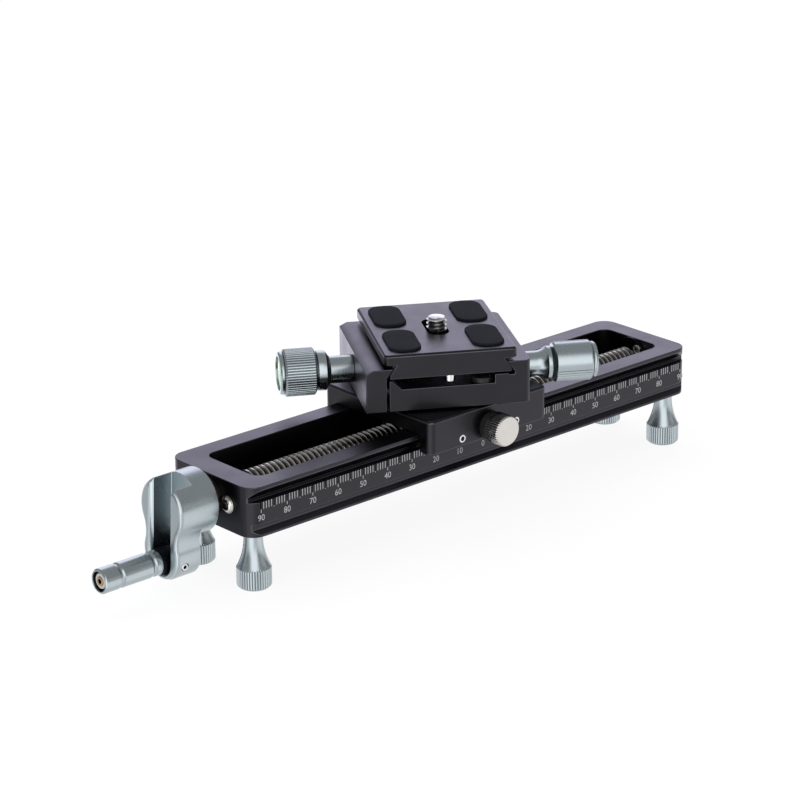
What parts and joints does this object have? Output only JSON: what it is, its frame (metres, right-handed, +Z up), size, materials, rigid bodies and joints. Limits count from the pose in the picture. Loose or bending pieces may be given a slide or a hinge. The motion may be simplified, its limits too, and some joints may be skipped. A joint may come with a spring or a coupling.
{
  "type": "macro focusing rail",
  "caption": "Crank-driven carriage on a long windowed rail with a scale, carrying a panning quick-release clamp with a sliding camera plate; stands on screw-in feet.",
  "frame": {"origin": "mouth of the middle tripod socket, on the centre of the rail's underside", "axes": "+X along the rail away from the crank, +Y to the back, +Z up; the scale faces -Y"},
  "size_m": [0.229, 0.0673, 0.0623],
  "materials": {
    "black_anodised": "satin, bead blasted",
    "blue_grey_anodised": "satin",
    "stainless": "turned",
    "bright_steel": "polished",
    "brass": "machined",
    "bronze_screw": "plain",
    "black_plastic": "matte",
    "white_nylon": "semi gloss",
    "pad_rubber": "matte",
    "level_liquid": "clear",
    "level_bubble": "clear"
  },
  "bodies": {
    "rail": {"rail_frame": "black_anodised", "tripod_insert": "bright_steel", "crank_bearing": "brass", "far_bearing": "brass", "far_bearing_cover": "black_anodised", "cover_screws": "bright_steel", "end_screws": "bright_steel", "feet": "blue_grey_anodised"},
    "drive": {"lead_screw": "bright_steel", "crank_spacer": "black_anodised", "crank_arm": "blue_grey_anodised", "crank_grub_screw": "bright_steel", "handle_pivot_pin": "bright_steel"},
    "handle": {"handle_shank": "black_anodised", "handle_bush": "white_nylon", "handle_end_screw": "bronze_screw"},
    "grip": {"handle_sleeve": "blue_grey_anodised"},
    "carriage": {"carriage_block": "black_anodised", "drive_nut": "brass", "nut_screws": "bright_steel", "gib_strip": "brass", "gib_screws": "bright_steel", "pan_base": "black_anodised", "pan_bolt": "bright_steel"},
    "carriage_lock": {"lock_knob": "stainless", "lock_stud": "bright_steel", "lock_washer": "black_plastic"},
    "clamp": {"clamp_body": "black_anodised", "guide_pins": "bright_steel", "return_springs": "bright_steel", "stop_button": "black_plastic", "pan_shoe": "brass"},
    "jaw": {"movable_jaw": "black_anodised"},
    "jaw_drive": {"jaw_knob": "blue_grey_anodised", "jaw_screw": "bright_steel", "level_bezel": "blue_grey_anodised", "level_vial": "level_liquid", "level_bubble": "level_bubble"},
    "pan_lock": {"pan_knob": "blue_grey_anodised", "pan_screw": "bright_steel", "pan_knob_ring": "black_plastic"},
    "plate": {"camera_plate": "black_anodised", "rubber_pads": "pad_rubber", "stop_screws": "bright_steel"},
    "screw_slider": {"screw_washer": "bright_steel"},
    "camera_thread": {"camera_screw": "bright_steel"}
  },
  "joints": [
    {"name": "crank_turn", "type": "hinge", "parent": "rail", "child": "drive", "pos_m": [0, 0, 0.009], "axis": [1, 0, 0], "range_deg": [-12960.01, 11160.01]},
    {"name": "carriage_slide", "type": "slide", "parent": "rail", "child": "carriage", "axis": [1, 0, 0], "range_m": [-0.062, 0.072]},
    {"name": "handle_fold", "type": "hinge", "parent": "drive", "child": "handle", "pos_m": [-0.1092, 0.00103, -0.00737], "axis": [0, 0.998, 0.0628], "range_deg": [0, 90]},
    {"name": "handle_spin", "type": "hinge", "parent": "handle", "child": "grip", "pos_m": [-0.1092, 0.00103, -0.00737], "axis": [-1, 0, 0], "continuous": true},
    {"name": "carriage_lock_turn", "type": "hinge", "parent": "carriage", "child": "carriage_lock", "pos_m": [-0.0022, -0.025, 0.01445], "axis": [0, -1, 0], "range_deg": [0, 360]},
    {"name": "clamp_pan", "type": "hinge", "parent": "carriage", "child": "clamp", "pos_m": [-0.0022, 0, 0.02205], "axis": [0, 0, 1], "continuous": true},
    {"name": "jaw_slide", "type": "slide", "parent": "clamp", "child": "jaw", "axis": [-0.8563, 0.5165, 0], "range_m": [0, 0.0032]},
    {"name": "jaw_knob_turn", "type": "hinge", "parent": "jaw", "child": "jaw_drive", "pos_m": [-0.02489, 0.01369, 0.0287], "axis": [-0.8563, 0.5165, 0], "range_deg": [0, 1440]},
    {"name": "pan_lock_turn", "type": "hinge", "parent": "clamp", "child": "pan_lock", "pos_m": [0.01946, -0.01307, 0.0259], "axis": [0.8563, -0.5165, 0], "range_deg": [0, 360]},
    {"name": "plate_slide", "type": "slide", "parent": "clamp", "child": "plate", "axis": [0.5165, 0.8563, 0], "range_m": [-0.015, 0.015]},
    {"name": "camera_screw_slide", "type": "slide", "parent": "plate", "child": "screw_slider", "axis": [0.5165, 0.8563, 0], "range_m": [-0.0026, 0.0066]},
    {"name": "camera_screw_turn", "type": "hinge", "parent": "screw_slider", "child": "camera_thread", "pos_m": [-0.00323, -0.00171, 0.0405], "axis": [0, 0, 1], "continuous": true}
  ],
  "couplings": [
    {"joint": "crank_turn", "follows": "carriage_slide", "rad_per_m": -3141.6},
    {"joint": "jaw_slide", "follows": "jaw_knob_turn", "m_per_rad": 0.00012732}
  ]
}
